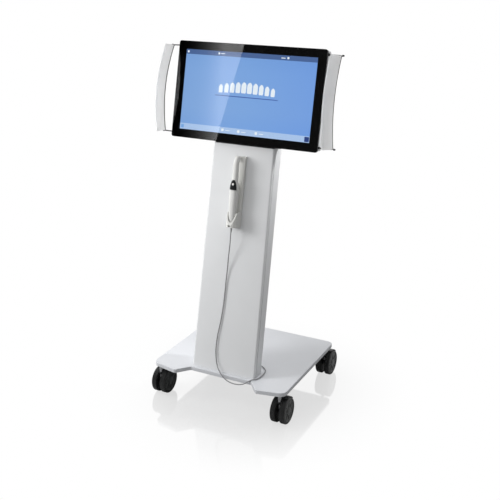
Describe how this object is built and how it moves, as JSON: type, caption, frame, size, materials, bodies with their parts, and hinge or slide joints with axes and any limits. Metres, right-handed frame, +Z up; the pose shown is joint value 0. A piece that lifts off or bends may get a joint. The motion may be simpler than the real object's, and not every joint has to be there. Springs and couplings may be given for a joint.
{
  "type": "intraoral scanner cart",
  "caption": "White wheeled cart with a leaning column, a wide touch screen with wing handles, and a handheld mouth scanner in a holder on the column.",
  "frame": {"origin": "on the floor under the middle of the cart's overall size", "axes": "+X to the right seen from in front, -Y towards the user, +Z up"},
  "size_m": [0.7118, 0.5476, 1.3514],
  "materials": {
    "white_plastic": "fine satin moulding",
    "white_paint": "satin powder coat",
    "grey_plastic": "fine matt texture",
    "dark_plastic": "satin black",
    "zinc_steel": "bright zinc",
    "dark_metal": "dark satin",
    "screen_glass": "gloss black border round a clear middle",
    "display_panel": "lit blue display",
    "grey_rubber": "soft matt"
  },
  "bodies": {
    "cart": {"base_plate": "white_paint", "button_trim": "dark_plastic", "column_front_cover": "white_plastic", "column_rear_cover": "white_plastic", "column_spine": "grey_plastic", "cord_gland": "dark_plastic", "display_mount": "zinc_steel", "display_panel": "display_panel", "front_left_stem": "zinc_steel", "front_right_stem": "zinc_steel", "glass_panel": "screen_glass", "inlet_plate": "dark_plastic", "left_bottom_foot": "dark_plastic", "left_bottom_knob": "dark_metal", "left_rail": "dark_metal", "left_top_foot": "dark_plastic", "left_top_knob": "dark_metal", "left_wing": "white_plastic", "mains_inlet": "dark_plastic", "monitor_mast": "zinc_steel", "neck_collar": "dark_plastic", "rear_housing": "white_plastic", "rear_left_stem": "zinc_steel", "rear_right_stem": "zinc_steel", "right_bottom_foot": "dark_plastic", "right_bottom_knob": "dark_metal", "right_rail": "dark_metal", "right_top_foot": "dark_plastic", "right_top_knob": "dark_metal", "right_wing": "white_plastic", "screen_frame": "dark_plastic", "tip_window": "screen_glass", "wand_body": "white_plastic", "wand_cord": "grey_rubber", "wand_holder": "white_plastic", "wand_neck": "white_plastic", "wand_strain_relief": "grey_rubber"},
    "front_left_swivel": {"front_left_axle": "zinc_steel", "front_left_hood": "dark_plastic"},
    "front_left_wheel_l_body": {"front_left_wheel_l": "dark_plastic"},
    "front_left_wheel_r_body": {"front_left_wheel_r": "dark_plastic"},
    "front_right_swivel": {"front_right_axle": "zinc_steel", "front_right_hood": "dark_plastic"},
    "front_right_wheel_l_body": {"front_right_wheel_l": "dark_plastic"},
    "front_right_wheel_r_body": {"front_right_wheel_r": "dark_plastic"},
    "rocker": {"power_rocker": "dark_plastic"},
    "rear_left_swivel": {"rear_left_axle": "zinc_steel", "rear_left_hood": "dark_plastic"},
    "rear_left_wheel_l_body": {"rear_left_wheel_l": "dark_plastic"},
    "rear_left_wheel_r_body": {"rear_left_wheel_r": "dark_plastic"},
    "rear_right_swivel": {"rear_right_axle": "zinc_steel", "rear_right_hood": "dark_plastic"},
    "rear_right_wheel_l_body": {"rear_right_wheel_l": "dark_plastic"},
    "rear_right_wheel_r_body": {"rear_right_wheel_r": "dark_plastic"},
    "button": {"wand_button": "white_plastic"}
  },
  "joints": [
    {"name": "front_left_swivel_turn", "type": "hinge", "parent": "cart", "child": "front_left_swivel", "pos_m": [-0.2557, -0.242, 0.0935], "axis": [0, 0, 1], "continuous": true},
    {"name": "front_left_wheel_l_spin", "type": "hinge", "parent": "front_left_swivel", "child": "front_left_wheel_l_body", "pos_m": [-0.27465, -0.219, 0.05], "axis": [1, 0, 0], "continuous": true},
    {"name": "front_left_wheel_r_spin", "type": "hinge", "parent": "front_left_swivel", "child": "front_left_wheel_r_body", "pos_m": [-0.23675, -0.219, 0.05], "axis": [1, 0, 0], "continuous": true},
    {"name": "front_right_swivel_turn", "type": "hinge", "parent": "cart", "child": "front_right_swivel", "pos_m": [0.2557, -0.242, 0.0935], "axis": [0, 0, 1], "continuous": true},
    {"name": "front_right_wheel_l_spin", "type": "hinge", "parent": "front_right_swivel", "child": "front_right_wheel_l_body", "pos_m": [0.23675, -0.219, 0.05], "axis": [1, 0, 0], "continuous": true},
    {"name": "front_right_wheel_r_spin", "type": "hinge", "parent": "front_right_swivel", "child": "front_right_wheel_r_body", "pos_m": [0.27465, -0.219, 0.05], "axis": [1, 0, 0], "continuous": true},
    {"name": "rear_left_swivel_turn", "type": "hinge", "parent": "cart", "child": "rear_left_swivel", "pos_m": [-0.2557, 0.1988, 0.0935], "axis": [0, 0, 1], "continuous": true},
    {"name": "rear_left_wheel_l_spin", "type": "hinge", "parent": "rear_left_swivel", "child": "rear_left_wheel_l_body", "pos_m": [-0.27465, 0.2218, 0.05], "axis": [1, 0, 0], "continuous": true},
    {"name": "rear_left_wheel_r_spin", "type": "hinge", "parent": "rear_left_swivel", "child": "rear_left_wheel_r_body", "pos_m": [-0.23675, 0.2218, 0.05], "axis": [1, 0, 0], "continuous": true},
    {"name": "rear_right_swivel_turn", "type": "hinge", "parent": "cart", "child": "rear_right_swivel", "pos_m": [0.2557, 0.1988, 0.0935], "axis": [0, 0, 1], "continuous": true},
    {"name": "rear_right_wheel_l_spin", "type": "hinge", "parent": "rear_right_swivel", "child": "rear_right_wheel_l_body", "pos_m": [0.23675, 0.2218, 0.05], "axis": [1, 0, 0], "continuous": true},
    {"name": "rear_right_wheel_r_spin", "type": "hinge", "parent": "rear_right_swivel", "child": "rear_right_wheel_r_body", "pos_m": [0.27465, 0.2218, 0.05], "axis": [1, 0, 0], "continuous": true},
    {"name": "button_press", "type": "slide", "parent": "cart", "child": "button", "axis": [0, 0.9827, -0.1853], "range_m": [0, 0.0008], "stiffness_N_per_m": 600, "springref_m": -0.0005},
    {"name": "rocker_tip", "type": "hinge", "parent": "cart", "child": "rocker", "pos_m": [0.024, -0.11206, 0.2499], "axis": [1, 0, 0], "range_deg": [0, 12]}
  ]
}
